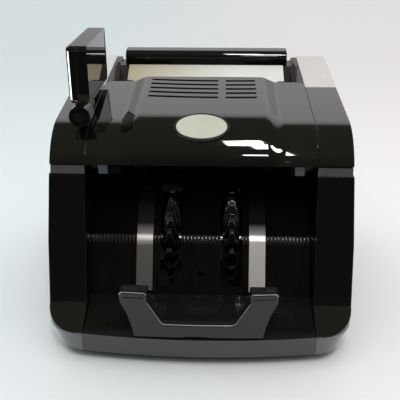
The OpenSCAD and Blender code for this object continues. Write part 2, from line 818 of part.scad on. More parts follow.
// Sloped bed, side cheeks with a flange over the frames, and a deck that carries the rear bar
module hopper_tray() {
    y0 = at(hood_rear_back) + gap;
    y1 = rear_y - wall - gap;
    under = 2;
    bed = feed_plate_t + tray_t;
    color("#141312") {
        in_hopper() difference() {
            translate([-tray_half, -feed_plate_len, -bed]) cube([2 * tray_half, feed_plate_len, tray_t]);
            hopper_slots();
        }
        both_sides() {
            along_x(tray_half - cheek_t, tray_half)
                polygon([[y0, feed_top.y - (feed_top.x - y0) * tan(hopper_slope) - 2],
                         [y0, hood_z(y0) - under], [y1, hood_z(y1) - under],
                         [y1, deck_top - deck_t / 2], [feed_top.x, deck_top - deck_t / 2]]);
            along_x(tray_half - cheek_t / 2, inner_half)
                polygon([[y0, hood_z(y0) - under - 2], [y0, hood_z(y0) - under + 0.3],
                         [y1, hood_z(y1) - under + 0.3], [y1, hood_z(y1) - under - 2]]);
            in_hopper() difference() {
                translate([tray_half - 4.5, -guide_u - 6, -rod_drop - 6]) cube([4, 12, rod_drop + 4]);
                translate([tray_half - 5, -guide_u, -rod_drop]) rotate([0, 90, 0])
                    cylinder(d = rod_d + 2 * run_gap, h = 3.5);
            }
        }
        translate([-inner_half, deck_front, deck_top - deck_t])
            cube([2 * inner_half, y1 - deck_front, deck_t]);
    }
}

// Bar across the back of the hopper, its top a little higher at the back
module hopper_bar() {
    y0 = deck_front + 0.7;
    y1 = y0 + bar_d;
    top = deck_top + bar_h;
    color("#0f0e0e") difference() {
        along_x(-bar_w / 2, bar_w / 2)
            polygon(rounded([[y0, deck_top, 0], [y0, top - 1.5, bar_round],
                             [y1, top, 2.5], [y1, deck_top, 0]], 10));
        translate([-bar_w / 2 + wall, y0 + wall, deck_top - 1])
            cube([bar_w - 2 * wall, bar_d - 2 * wall, bar_h - bar_round]);
    }
}

// Upright guide with a foot on the feed plate and a tail that slides on the rod below
module note_guide() {
    in_hopper() difference() {
        union() {
            translate([guide_in, -guide_u - guide_len / 2, gap]) cube([guide_t, guide_len, guide_h]);
            translate([tail_x, -guide_u - tail_w / 2, gap]) cube([guide_foot + 1, tail_w, 2]);
            translate([tail_x, -guide_u - tail_w / 2, -rod_drop - 5]) cube([tail_w, tail_w, rod_drop + 6]);
            translate([tail_x, -guide_u, -rod_drop]) rotate([0, 90, 0])
                cylinder(r = rod_d / 2 + 2.5, h = tail_w);
        }
        translate([tail_x - 1, -guide_u, -rod_drop]) rotate([0, 90, 0])
            cylinder(d = rod_d + 2 * run_gap, h = tail_w + 2);
    }
}

module right_note_guide() { color("#181716") note_guide(); }
module left_note_guide() { color("#181716") mirror([1, 0, 0]) note_guide(); }

module guide_rod() {
    reach = tray_half - 2;
    color("#b4b4b0") in_hopper() translate([-reach, -guide_u, -rod_drop]) rotate([0, 90, 0])
        cylinder(d = rod_d, h = 2 * reach);
}

module knuckle(span, r) {
    translate([-hinge_x, span[0], hinge_z]) rotate([-90, 0, 0]) difference() {
        cylinder(r = r, h = span[1] - span[0]);
        translate([0, 0, -1]) cylinder(d = hinge_pin_d + 2 * run_gap, h = span[1] - span[0] + 2);
    }
}

// Barrel behind the display's knuckle, with a foot that spreads under the upper case
module display_bracket() {
    size = bracket_foot[1] - bracket_foot[0];
    under = hood_z(bracket_foot[0].y) - wall / cos(hood_slope) - 2.5;
    color("#101010") {
        knuckle(bracket_y, bracket_r);
        difference() {
            union() {
                translate(bracket_foot[0]) cube(size);
                translate([bracket_foot[0].x - 5, bracket_foot[0].y, bracket_foot[0].z])
                    cube([size.x + 5, size.y, under - bracket_foot[0].z]);
            }
            translate([-hinge_x, -case_d, hinge_z]) rotate([-90, 0, 0])
                cylinder(r = bracket_r - 1, h = 2 * case_d);
        }
    }
}

module display_pin() {
    color("#8e8e8c") translate([-hinge_x, knuckle_y[0] - 1.5, hinge_z]) rotate([-90, 0, 0]) {
        cylinder(d = hinge_pin_d, h = bracket_y[1] - knuckle_y[0] + 1.5);
        cylinder(d = hinge_pin_d + 3, h = 1.5);
    }
}

module display_outline(inset) {
    mid = [(display_y[0] + display_y[1]) / 2, (display_z[0] + display_z[1]) / 2];
    translate(mid) polygon(box_outline(display_len - 2 * inset, display_h - 2 * inset, max(4 - inset, 1)));
}

window_t = 1;
window_border = 3;
module display_front_case() {
    color("#0d0d0d") {
        difference() {
            along_x(display_seam, display_face) display_outline(0);
            along_x(display_seam - 1, display_face - window_t - 1) display_outline(wall);
            along_x(display_seam, display_face + 1) display_outline(window_border + 1);
            along_x(display_face - window_t - 0.5, display_face + 1)
                display_outline(window_border - run_gap);
        }
        knuckle(knuckle_y, knuckle_r);
        // Neck from the knuckle up to the front half of the display
        difference() {
            along_x(display_seam, display_face - 0.5)
                polygon([[knuckle_y[0] + 5, hinge_z], [display_y[0] + 0.5, display_z[0] + 9],
                         [display_y[0] + 0.5, display_z[0] + 1], [knuckle_y[1], display_z[0] + 1],
                         [knuckle_y[1], hinge_z]]);
            translate([-hinge_x, -case_d, hinge_z]) rotate([-90, 0, 0])
                cylinder(r = knuckle_r - 1, h = 2 * case_d);
        }
    }
}

module display_back_case() {
    color("#121212") difference() {
        along_x(display_rear, display_seam) display_outline(0);
        along_x(display_rear + wall, display_seam + 1) display_outline(wall);
    }
}

module display_window() {
    color("#1d2a33") along_x(display_face - window_t - 0.5, display_face - 0.3)
        display_outline(window_border);
}

// Steel side frame with holes for the bearings
module side_frame() {
    top = retard_c.y + 11;
    along_x(frame_in, frame_out) difference() {
        polygon([[floor_end.x + 14, pan_top], [floor_end.x + 14, floor_end.y + 10], [crest.x + 9, crest.y],
                 slope_end + [4, -9], slope_end + [4, 3], pinch_c + [-12, -10], pinch_c + [-12, 16],
                 [retard_c.x - 10, top], [retard_c.x + 10, top], [feed_c.x + 16, feed_c.y + 8],
                 [rear_y - 40, feed_c.y], [rear_y - 12, feed_c.y - 38], [rear_y - 12, pan_top]]);
        for (c = [wheel_c, drive_c, pinch_c, feed_c, retard_c]) translate(c) circle(bush_r + run_gap / 2);
        translate(motor_c) circle(motor_boss_r);
        translate(motor_c + [cable_hole_back, 0]) circle(cable_hole_r);
    }
}

module right_frame() { color("#8f9295") side_frame(); }
module left_frame() { color("#8f9295") mirror([1, 0, 0]) side_frame(); }

module shaft_bearings() {
    color("#d8d2b8") both_sides() for (c = [wheel_c, drive_c, pinch_c, feed_c, retard_c]) {
        bored_x(c, bush_r, shaft_d / 2 + run_gap, frame_in, frame_out);
        bored_x(c, bush_flange_r, shaft_d / 2 + run_gap, frame_in - bush_flange_t, frame_in);
    }
}

// Stacker wheel: a hub with pointed, curved fingers
module stacker_wheel() {
    arc_r = 24;
    arc_off = 28;
    color("#161616") translate([wheel_x, wheel_c.x, wheel_c.y]) rotate([90, 0, 90]) difference() {
        intersection() {
            translate([0, 0, -wheel_w / 2]) linear_extrude(wheel_w) {
                circle(wheel_hub_r);
                for (i = [0:wheel_fingers - 1]) rotate(i * 360 / wheel_fingers) intersection() {
                    translate([arc_off, 0]) difference() {
                        circle(arc_r + finger_t / 2);
                        circle(arc_r - finger_t / 2);
                    }
                    difference() {
                        circle(wheel_r);
                        circle(wheel_hub_r - 1);
                    }
                    square([wheel_r, wheel_r]);
                }
            }
            rotate_extrude()
                polygon([[0, -wheel_w / 2], [wheel_hub_r + 8, -wheel_w / 2],
                         [wheel_r + 1, -finger_tip_w / 2], [wheel_r + 1, finger_tip_w / 2],
                         [wheel_hub_r + 8, wheel_w / 2], [0, wheel_w / 2]]);
        }
        translate([0, 0, -wheel_w]) cylinder(d = shaft_d, h = 2 * wheel_w);
    }
}

module right_stacker_wheel() { stacker_wheel(); }
module left_stacker_wheel() { translate([-2 * wheel_x, 0, 0]) stacker_wheel(); }

module stacker_shaft() { color("#b9b9b6") rod_x(wheel_c, shaft_d, -frame_out, shaft_end_x); }
module drive_shaft() { color("#b9b9b6") rod_x(drive_c, shaft_d, -shaft_end_x, shaft_end_x); }
module feed_shaft() { color("#b9b9b6") rod_x(feed_c, shaft_d, -shaft_end_x, frame_out); }
module pinch_shaft() { color("#b9b9b6") rod_x(pinch_c, shaft_d, -frame_out, frame_out); }

// Flanged pulley in one belt lane, counted outwards from the frame
module pulley(c, r, lane, bore) {
    x0 = lane_x + lane * lane_w;
    x1 = x0 + lane_w;
    bored_x(c, r, bore / 2, x0, x1);
    bored_x(c, r + flange_h, bore / 2, x0, x0 + flange_t);
    bored_x(c, r + flange_h, bore / 2, x1 - flange_t, x1);
}

module stacker_pulley() { color("#2a2a2a") pulley(wheel_c, stacker_pulley_r, 1, shaft_d); }
module feed_pulley() { color("#2a2a2a") mirror([1, 0, 0]) pulley(feed_c, feed_pulley_r, 1, shaft_d); }
module drive_pulley() {
    color("#2a2a2a") {
        pulley(drive_c, drive_pulley_r, 0, shaft_d);
        pulley(drive_c, stacker_drive_r, 1, shaft_d);
        mirror([1, 0, 0]) pulley(drive_c, feed_drive_r, 1, shaft_d);
    }
}
motor_shaft_d = 5;
module motor_pulley() { color("#b08d3c") pulley(motor_c, motor_pulley_r, 0, motor_shaft_d); }
module motor_shaft() { color("#b9b9b6") rod_x(motor_c, motor_shaft_d, frame_in - 20, lane_x + lane_w); }

// Outline of a loop round two circles
function wrap(a, ra, b, rb, n = 24) =
    let (d = b - a, base = atan2(d.y, d.x), phi = acos((ra - rb) / norm(d)))
    concat([for (i = [0:n]) let (t = base + phi + (360 - 2 * phi) * i / n) a + ra * [cos(t), sin(t)]],
           [for (i = [0:n]) let (t = base - phi + 2 * phi * i / n) b + rb * [cos(t), sin(t)]]);

module belt(a, ra, b, rb, lane) {
    x0 = lane_x + lane * lane_w + flange_t + gap;
    x1 = lane_x + (lane + 1) * lane_w - flange_t - gap;
    color("#1e1e1e") along_x(x0, x1) difference() {
        polygon(wrap(a, ra + gap + belt_t, b, rb + gap + belt_t));
        polygon(wrap(a, ra + gap, b, rb + gap));
    }
}

module drive_belt() { belt(motor_c, motor_pulley_r, drive_c, drive_pulley_r, 0); }
module stacker_belt() { belt(drive_c, stacker_drive_r, wheel_c, stacker_pulley_r, 1); }
module feed_belt() { mirror([1, 0, 0]) belt(drive_c, feed_drive_r, feed_c, feed_pulley_r, 1); }

module rollers(c, r, w, xs, colour) {
    color(colour) for (x = xs) bored_x(c, r, shaft_d / 2, x - w / 2, x + w / 2);
}

module drive_rollers() { rollers(drive_c, drive_r, drive_roller_w, drive_roller_xs, "#4a4744"); }
module pinch_rollers() { rollers(pinch_c, pinch_r, drive_roller_w, drive_roller_xs, "#d7d7d2"); }
module feed_rollers() {
    rollers(feed_c, feed_r, feed_roller_w, [-feed_roller_x, feed_roller_x], "#8a3d22");
}

// Fixed rollers on their own bar, which hold back all but one note
module retard_rollers() {
    rollers(retard_c, retard_r, feed_roller_w, [-feed_roller_x, feed_roller_x], "#c8b48a");
    color("#b9b9b6") rod_x(retard_c, shaft_d, -frame_out, frame_out);
}

// Slotted disc on the drive shaft that a light gate reads
module encoder_disc() {
    slots = 20;
    disc_r = 17;
    color("#3a3a3a") along_x(-frame_in + 3, -frame_in + 4.2) translate(drive_c) difference() {
        circle(disc_r);
        circle(d = shaft_d);
        for (i = [0:slots - 1]) rotate(i * 360 / slots) translate([disc_r - 4, -0.8]) square([2.6, 1.6]);
    }
}

module motor() {
    color("#7d8083") difference() {
        union() {
            rod_x(motor_c, 2 * motor_r, frame_in - motor_len, frame_in);
            rod_x(motor_c, motor_r, frame_in - motor_len - 3, frame_in - motor_len);
        }
        rod_x(motor_c, motor_shaft_d + 2 * run_gap, frame_in - 20 - gap, frame_in + 1);
    }
}

// Transformer near the rear panel, with the main board in front of it
transformer_core = [62, 34, 50];
transformer_coil = [40, 54, 36];
transformer_rear = 15;
transformer_c = [-45, rear_y - transformer_rear - transformer_coil.y / 2];
board_lift = 5;
board_w = 104;
board_d = 56;
board_clear = 8.5;
board_c = [-32, transformer_c.y - transformer_coil.y / 2 - board_clear - board_d / 2];
board_xs = [board_c.x - board_w / 2 + 6, board_c.x + board_w / 2 - 6];
board_ys = [board_c.y - board_d / 2 + 6, board_c.y + board_d / 2 - 6];
module main_board() {
    z = pan_top + board_lift;
    color("#1f5a35") translate([board_c.x - board_w / 2, board_c.y - board_d / 2, z])
        cube([board_w, board_d, 1.6]);
    color("#222222") for (i = [0:2]) translate([board_c.x - 34 + 26 * i, board_c.y - 8, z + 1.5])
        cube([16, 16, 2.6]);
    color("#d9d5c4") for (i = [0:3]) translate([board_c.x - 42 + 22 * i, board_c.y + 15, z + 1.5])
        cube([14, 6, 8]);
    color("#26324f") for (i = [0:2]) translate([board_c.x + 38, board_c.y - 16 + 13 * i, z + 1.5])
        cylinder(d = 10, h = 16);
}

module transformer() {
    core = transformer_core;
    coil = transformer_coil;
    coil_z = pan_top + (core.z - coil.z) / 2;
    color("#5b5f63") translate([transformer_c.x - core.x / 2, transformer_c.y - core.y / 2, pan_top])
        cube(core);
    color("#c9a64a") translate([transformer_c.x - coil.x / 2, transformer_c.y - coil.y / 2, coil_z])
        cube(coil);
}

inlet_size = [27, 20];
module rear_hole(c, size, r) {
    translate([c.x, 0, c.y]) along_y(rear_y - 2 * wall, rear_y + 2 * wall)
        polygon(box_outline(size.x, size.y, r));
}

switch_size = [19, 13];
module rear_panel() {
    color("#161616") difference() {
        translate([-inner_half, rear_y - wall, foot_h])
            cube([2 * inner_half, wall, deck_top - deck_t - foot_h]);
        rear_hole(inlet_c, inlet_size + 2 * run_gap * [1, 1], 2);
        rear_hole(switch_c, switch_size + 2 * run_gap * [1, 1], 1);
        for (i = [0:6], s = [-1, 1]) rear_hole([s * 45, 90 + 9 * i], [60, 4.5], 2);
    }
}

// Socket for the mains lead with its three blades
module power_inlet() {
    flange_t = 2;
    color("#101010") difference() {
        union() {
            translate([inlet_c.x, 0, inlet_c.y]) along_y(rear_y - 20, rear_y)
                polygon(box_outline(inlet_size.x, inlet_size.y, 2));
            translate([inlet_c.x, 0, inlet_c.y]) along_y(rear_y - wall - flange_t, rear_y - wall)
                polygon(box_outline(inlet_size.x + 6, inlet_size.y + 6, 3));
        }
        translate([inlet_c.x, 0, inlet_c.y]) along_y(rear_y - 16, rear_y + 1)
            polygon(box_outline(24, 16.6, 3));
    }
    color("#c2b280") for (p = [[-7, -2], [0, 2.5], [7, -2]])
        translate([inlet_c.x + p.x - 1, rear_y - 17, inlet_c.y + p.y - 2]) cube([2, 11.5, 4]);
}

// Rocker switch: a frame in the rear panel and a rocker that tips about a pin through it
rocker_size = [14, 8];
rocker_axis = [rear_y - 4, switch_c.y];
module power_switch() {
    color("#131313") difference() {
        union() {
            translate([switch_c.x, 0, switch_c.y]) along_y(rear_y - 16, rear_y)
                polygon(box_outline(switch_size.x, switch_size.y, 1));
            translate([switch_c.x, 0, switch_c.y]) along_y(rear_y - wall - 2, rear_y - wall)
                polygon(box_outline(switch_size.x + 5, switch_size.y + 5, 2));
        }
        translate([switch_c.x, 0, switch_c.y]) along_y(rear_y - 12, rear_y + 1)
            polygon(box_outline(rocker_size.x + 2 * gap, rocker_size.y + 3.4, 0.5));
        rod_x(rocker_axis, 2 + 2 * run_gap, switch_c.x - 9, switch_c.x + 9);
    }
}

module power_rocker() {
    h = rocker_size.y / 2;
    color("#a31212") {
        along_x(switch_c.x - rocker_size.x / 2, switch_c.x + rocker_size.x / 2) translate(rocker_axis)
            polygon([[-4, -h + 1], [-4, h - 1], [2.4, h], [1.6, 0], [3.6, -h]]);
        rod_x(rocker_axis, 2, switch_c.x - 8.8, switch_c.x + 8.8);
    }
}

base_pan();
rubber_feet();
case_screws();
left_side_case();
right_side_case();
left_upper_case();
right_upper_case();
left_rear_cover();
right_rear_cover();
rear_panel();
front_tray();
stacker_back_plate();
left_guide_strip();
right_guide_strip();
stack_sensor();
note_stop();
stop_pins();
hood();
badge_bezel();
badge_plate();
hood_clips();
hopper_tray();
feed_plate();
hopper_bar();
left_note_guide();
right_note_guide();
guide_rod();
display_bracket();
display_pin();
display_front_case();
display_back_case();
display_window();
left_frame();
right_frame();
stacker_shaft();
left_stacker_wheel();
right_stacker_wheel();
stacker_pulley();
drive_shaft();
drive_rollers();
drive_pulley();
encoder_disc();
feed_shaft();
feed_rollers();
feed_pulley();
pinch_shaft();
pinch_rollers();
retard_rollers();
shaft_bearings();
motor();
motor_shaft();
motor_pulley();
drive_belt();
feed_belt();
stacker_belt();
main_board();
transformer();
power_inlet();
power_switch();
power_rocker();
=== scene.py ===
# %% [markdown]
# # Dressing a banknote counter
# The shapes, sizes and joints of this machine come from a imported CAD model, which loads as a fixed frame.
# This lesson gives the model its looks: a camera and a stage, a room for the gloss to mirror, finishes made
# of nodes, and soft edges on every moulding. Every piece rides on the CAD body that carries it.

# %% Load the frame
import json
import math

import bmesh
import bpy
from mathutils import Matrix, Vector


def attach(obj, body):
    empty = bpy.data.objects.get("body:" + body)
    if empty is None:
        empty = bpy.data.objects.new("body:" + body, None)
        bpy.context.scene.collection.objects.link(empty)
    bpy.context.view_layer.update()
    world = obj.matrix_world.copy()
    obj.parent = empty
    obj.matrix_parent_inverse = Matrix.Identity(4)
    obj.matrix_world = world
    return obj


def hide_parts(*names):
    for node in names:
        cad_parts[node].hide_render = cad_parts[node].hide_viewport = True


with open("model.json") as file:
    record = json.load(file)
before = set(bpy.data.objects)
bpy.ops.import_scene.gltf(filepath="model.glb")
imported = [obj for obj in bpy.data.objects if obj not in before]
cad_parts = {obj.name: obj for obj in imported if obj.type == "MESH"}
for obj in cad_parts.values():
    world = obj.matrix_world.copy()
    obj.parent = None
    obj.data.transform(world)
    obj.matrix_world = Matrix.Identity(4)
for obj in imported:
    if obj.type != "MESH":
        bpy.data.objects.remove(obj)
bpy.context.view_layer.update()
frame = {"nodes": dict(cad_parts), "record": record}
record = frame["record"]
body_of = {node: body for body, nodes in record["behaviour"]["bodies"].items() for node in nodes}
slot_of = {part["node"]: part["material_slot"] for part in record["subparts"]}
mm = 0.001

# %% [markdown]
# The camera stands above the machine and a little to its right, as the photographer did. Its place was found
# by matching edges of the CAD model with the same edges in the picture, so only four values matter: where
# it stands, how far it looks down, how far it turns to the left, and how long its lens is.

# %% Camera
camera_place = Vector((15.0, -577.0, 346.1)) * mm
look_down = math.radians(24.5)
turn_left = math.radians(1.784)
film_width, lens_length = 36, 58.5
camera_data = bpy.data.cameras.new("photo_camera")
camera_data.sensor_width = film_width
camera_data.lens = lens_length
camera = bpy.data.objects.new("photo_camera", camera_data)
camera.location = camera_place
camera.rotation_euler = (math.pi / 2 - look_down, 0, turn_left)
bpy.context.scene.collection.objects.link(camera)
bpy.context.scene.camera = camera
print("camera stands", round(camera_place.length, 3), "m from the middle of the feet")

# %% [markdown]
# One helper does most of the node work: it adds a shader node, sets its options, and links or fills its
# inputs. A second one starts a material and hands back what every finish needs. Patterns read Object
# coordinates, which are metres in the machine's own frame, so the scale of a pattern is a real size.

# %% Node helpers
def add(tree, kind, inputs=None, **options):
    made = tree.nodes.new("ShaderNode" + kind)
    for name, value in options.items():
        setattr(made, name, value)
    for name, value in (inputs or {}).items():
        if isinstance(value, bpy.types.NodeSocket):
            tree.links.new(value, made.inputs[name])
        else:
            made.inputs[name].default_value = value
    return made


def start_finish(name, **constants):
    material = bpy.data.materials.new(name)
    material.use_nodes = True
    tree = material.node_tree
    shader = tree.nodes["Principled BSDF"]
    for socket, value in constants.items():
        shader.inputs[socket.replace("_", " ")].default_value = value
    place = add(tree, "TexCoord").outputs["Object"]
    return material, tree, shader, place


print("helpers ready: add, start_finish")

# %% [markdown]
# More helpers keep the recipes short to read. `ramp` turns a stretch of values into a mask that runs from 0
# to 1, `between` spreads a mask over two values, `maths` joins numbers, `blend_colour` lays one colour over
# another by a mask, and `along` reads the place along one axis. A `grey` is one level with a touch of warmth.

# %% Masks and colours
def ramp(tree, value, start, end, low=0.0, high=1.0):
    limits = {"Value": value, "From Min": start, "From Max": end, "To Min": low, "To Max": high}
    return add(tree, "MapRange", limits).outputs["Result"]


def between(tree, mask, low, high):
    return ramp(tree, mask, 0.0, 1.0, low, high)


def maths(tree, operation, *values):
    return add(tree, "Math", dict(enumerate(values)), operation=operation).outputs[0]


def blend_colour(tree, mask, under, over, blend_type="MIX"):
    layers = {0: mask, 6: under, 7: over}
    return add(tree, "Mix", layers, data_type="RGBA", blend_type=blend_type).outputs[2]


def along(tree, place, axis):
    return add(tree, "SeparateXYZ", {0: place}).outputs[axis]


def grey(level, warm=0.0):
    return (level * (1 + warm), level, level * (1 - warm), 1)


print("a warm grey:", grey(0.5, 0.02))

# %% [markdown]
# The stage is a pale sheet on a table, a little under the rubber feet. The table ends a short way in front
# of the machine, and the dark room beyond it is what the black plastic mirrors. So the sheet has two
# lengths: one under and behind the machine, and one in front that gloss and bounced light don't see.

# %% Floor sheets
table_front, far_edge, sheet_half = -0.46, 4.0, 3.0
sheet_drop = 5.5 * mm


def lay_sheet(name, front, back):
    sheet = bmesh.new()
    bmesh.ops.create_grid(sheet, x_segments=12, y_segments=12, size=1)
    bmesh.ops.scale(sheet, verts=sheet.verts, vec=(sheet_half, (back - front) / 2, 1))
    bmesh.ops.translate(sheet, verts=sheet.verts, vec=(0, (back + front) / 2, -sheet_drop))
    mesh = bpy.data.meshes.new(name)
    sheet.to_mesh(mesh)
    sheet.free()
    laid = bpy.data.objects.new(name, mesh)
    bpy.context.scene.collection.objects.link(laid)
    return laid


table_sheet = lay_sheet("table_sheet", table_front, far_edge)
front_sheet = lay_sheet("front_sheet", -far_edge, table_front)
front_sheet.visible_glossy = False
front_sheet.visible_diffuse = False
print("sheets of paper:", table_sheet.name, front_sheet.name)

# %% [markdown]
# The light in the room is cool on the left and warm on the right, so the paper's tint runs across it. A
# faint cloud keeps it from looking printed, and the far part is a little dimmer, where the lamps fall off.

# %% Paper
cool_paper, warm_paper = (0.69, 0.76, 0.77, 1), (0.80, 0.77, 0.775, 1)
tint_reach = 0.3
paper, tree, shader, place = start_finish("table_paper", Roughness=0.9, Specular_IOR_Level=0.2)
tint = ramp(tree, along(tree, place, "X"), -tint_reach, tint_reach)
pulp = add(tree, "TexNoise", {"Vector": place, "Scale": 6, "Detail": 2}).outputs[0]
cloudy = between(tree, pulp, -0.12, 0.12)
mixed = add(tree, "Math", {0: tint, 1: cloudy}, operation="ADD", use_clamp=True).outputs[0]
sheet_colour = blend_colour(tree, mixed, cool_paper, warm_paper)
far = ramp(tree, along(tree, place, "Y"), 0.1, 0.9)
dimmed = blend_colour(tree, far, sheet_colour, grey(0.88), "MULTIPLY")
tree.links.new(dimmed, shader.inputs["Base Color"])
for laid in (table_sheet, front_sheet):
    laid.data.materials.append(paper)
print("paper nodes:", len(tree.nodes))

# %% [markdown]
# Glossy black plastic has almost no colour of its own: what it shows is the room. There is a bright wall
# behind the machine, dimmer near the floor, a dark room in front, a warm dark ceiling, and a pale sill
# just under eye level. The world draws these by heading, whose Z is 0 at eye level and 1 straight up, and
# only mirrored rays will see them.

# %% Room in reflections
world = bpy.data.worlds.new("room")
bpy.context.scene.world = world
world.use_nodes = True
tree = world.node_tree
heading = add(tree, "SeparateXYZ", {0: add(tree, "TexCoord").outputs["Generated"]}).outputs
behind = ramp(tree, heading["Y"], 0.0, 0.3)
below_ceiling = ramp(tree, heading["Z"], 0.79, 0.67)
wall = maths(tree, "MULTIPLY", behind, below_ceiling)
wall_height = ramp(tree, heading["Z"], 0.26, 0.4)
bright_wall = blend_colour(tree, wall_height, grey(0.5), (0.93, 0.94, 0.95, 1))
overhead = ramp(tree, heading["Z"], 0.2, 0.8)
ceiling = blend_colour(tree, overhead, grey(0.02), (0.105, 0.102, 0.077, 1))
sill_top = ramp(tree, heading["Z"], -0.04, -0.08)
sill_foot = ramp(tree, heading["Z"], -0.18, -0.13)
sill = maths(tree, "MULTIPLY", sill_top, sill_foot)
dark_room = blend_colour(tree, sill, ceiling, grey(0.6))
mirrored = blend_colour(tree, wall, dark_room, bright_wall)
print("room nodes:", len(tree.nodes))

# %% [markdown]
# All other rays see a soft dome that is bright above and behind, and dark in front. It lights the pale
# parts evenly and leaves a dark line of shadow under the front edge. The camera itself sees paper colour.

# %% Soft light
rays = add(tree, "LightPath").outputs
tint = ramp(tree, heading["X"], -tint_reach, tint_reach)
pale = blend_colour(tree, tint, cool_paper, warm_paper)
from_back = ramp(tree, heading["Y"], -0.2, 0.6)
from_top = ramp(tree, heading["Z"], 0.45, 0.9)
lit = maths(tree, "MAXIMUM", from_back, from_top)
soft_light = blend_colour(tree, lit, grey(0.04), grey(1.5))
dome = blend_colour(tree, rays["Is Camera Ray"], soft_light, pale)
room = blend_colour(tree, rays["Is Glossy Ray"], dome, mirrored)
tree.links.new(room, tree.nodes["Background"].inputs["Color"])
bpy.context.scene.view_settings.view_transform = "Standard"
print("world nodes:", len(tree.nodes))

# %% [markdown]
# The bright patches on the hood are window panes above and in front of the machine. A pane that is tall
# and narrow does it: the hood's round front squeezes its height, and leaves its width alone. Each place
# was found by following the mirror direction from a patch in the photograph. The radiance is the brightness
# that a mirror would show, so the lamp's power grows with its area.

# %% Window panes
def window_pane(name, place, target, width, height, radiance):
    lamp = bpy.data.lights.new(name, "AREA")
    lamp.shape = "RECTANGLE"
    lamp.size = width
    lamp.size_y = height
    lamp.energy = radiance * math.pi * width * height
    holder = bpy.data.objects.new(name, lamp)
    holder.location = place
    holder.rotation_euler = (Vector(target) - Vector(place)).to_track_quat("-Z", "Y").to_euler()
    holder.visible_camera = False
    bpy.context.scene.collection.objects.link(holder)
    return holder


daylight = 20
hood_front = (0.04, -0.06, 0.17)
window_pane("high_pane", (0.086, -0.69, 1.30), hood_front, 0.11, 0.3, daylight)
window_pane("side_pane", (0.16, -0.80, 1.215), hood_front, 0.11, 0.26, daylight)
window_pane("low_pane", (0.135, -1.036, 0.86), hood_front, 0.11, 0.05, daylight)
print("panes for the hood:", len(bpy.data.lights))

# %% [markdown]
# Two more panes are there for one reflection each, so they give no light to matt surfaces. One fills the
# patch on the hood's sloping flank. The other draws the white line along the display's rounded edge, and
# its narrow beam keeps it out of the side of the case, which would mirror it in a view from behind.

# %% Panes for one reflection
hood_flank = (0.064, -0.065, 0.159)
flank_pane = window_pane("flank_pane", (0.5, -0.757, 1.169), hood_flank, 0.14, 0.23, daylight)
before_display = (-0.09, -0.1, 0.21)
side_glass = window_pane("side_glass", (-0.335, -0.241, 0.133), before_display, 0.18, 0.09, 1.6)
side_glass.data.spread = math.radians(32)
for pane in (flank_pane, side_glass):
    pane.visible_diffuse = False

# %% [markdown]
# Some effects come back in many finishes, so each is a node group that is built once and placed in each
# material with its own values. A group gives out only masks and heights. The first holds the marks that
# hands leave: smears that make gloss uneven, and a few specks of dust, which are small dots picked at
# random from a cell pattern.

# %% Handling marks
def start_group(name, inputs, outputs):
    group = bpy.data.node_groups.new(name, "ShaderNodeTree")
    for socket, kind in inputs.items():
        group.interface.new_socket(socket, in_out="INPUT", socket_type="NodeSocket" + kind)
    for socket in outputs:
        group.interface.new_socket(socket, in_out="OUTPUT", socket_type="NodeSocketFloat")
    entry = group.nodes.new("NodeGroupInput")
    leave = group.nodes.new("NodeGroupOutput")
    return group, entry.outputs, leave.inputs


def scaled(tree, place, size):
    inverse = maths(tree, "DIVIDE", 1.0, size)
    return add(tree, "VectorMath", {"Vector": place, "Scale": inverse}, operation="SCALE").outputs["Vector"]


mark_inputs = {"Place": "Vector", "Size": "Float"}
handling, given, gives = start_group("handling_marks", mark_inputs, ["Smear", "Specks"])
spread = scaled(handling, given["Place"], given["Size"])
cloud = add(handling, "TexNoise", {"Vector": spread, "Scale": 1, "Detail": 5, "Roughness": 0.6})
handling.links.new(ramp(handling, cloud.outputs[0], 0.35, 0.7), gives["Smear"])
dots = add(handling, "TexVoronoi", {"Vector": spread, "Scale": 26}).outputs
small = ramp(handling, dots["Distance"], 0.05, 0.11, 1, 0)
chance = add(handling, "SeparateColor", {0: dots["Color"]}).outputs[0]
some = maths(handling, "GREATER_THAN", chance, 0.82)
handling.links.new(maths(handling, "MULTIPLY", small, some), gives["Specks"])
print("group:", handling.name, "with", len(handling.nodes), "nodes")

# %% [markdown]
# A moulding tool leaves a fine grain, which is plain noise, and brushed metal has lines, which are noise
# that is stretched along one axis. The caller gives the size of the grain, or the stretch of the lines.

# %% Grain and brushed lines
grain, given, gives = start_group("moulded_grain", {"Place": "Vector", "Size": "Float"}, ["Height"])
fine = scaled(grain, given["Place"], given["Size"])
pits = add(grain, "TexNoise", {"Vector": fine, "Scale": 1, "Detail": 3})
grain.links.new(pits.outputs[0], gives["Height"])

brush_inputs = {"Place": "Vector", "Stretch": "Vector"}
brushed, given, gives = start_group("brushed_lines", brush_inputs, ["Lines"])
stretching = {0: given["Place"], 1: given["Stretch"]}
drawn = add(brushed, "VectorMath", stretching, operation="MULTIPLY").outputs["Vector"]
lines = add(brushed, "TexNoise", {"Vector": drawn, "Scale": 1, "Detail": 4, "Roughness": 0.7})
brushed.links.new(lines.outputs[0], gives["Lines"])
print("groups:", grain.name, brushed.name)

# %% [markdown]
# Edges go pale where hands and notes rub them. The Bevel node gives the normal that a rounded edge would
# have, and where that differs from the true one there is an edge. Patches of noise break the line up.

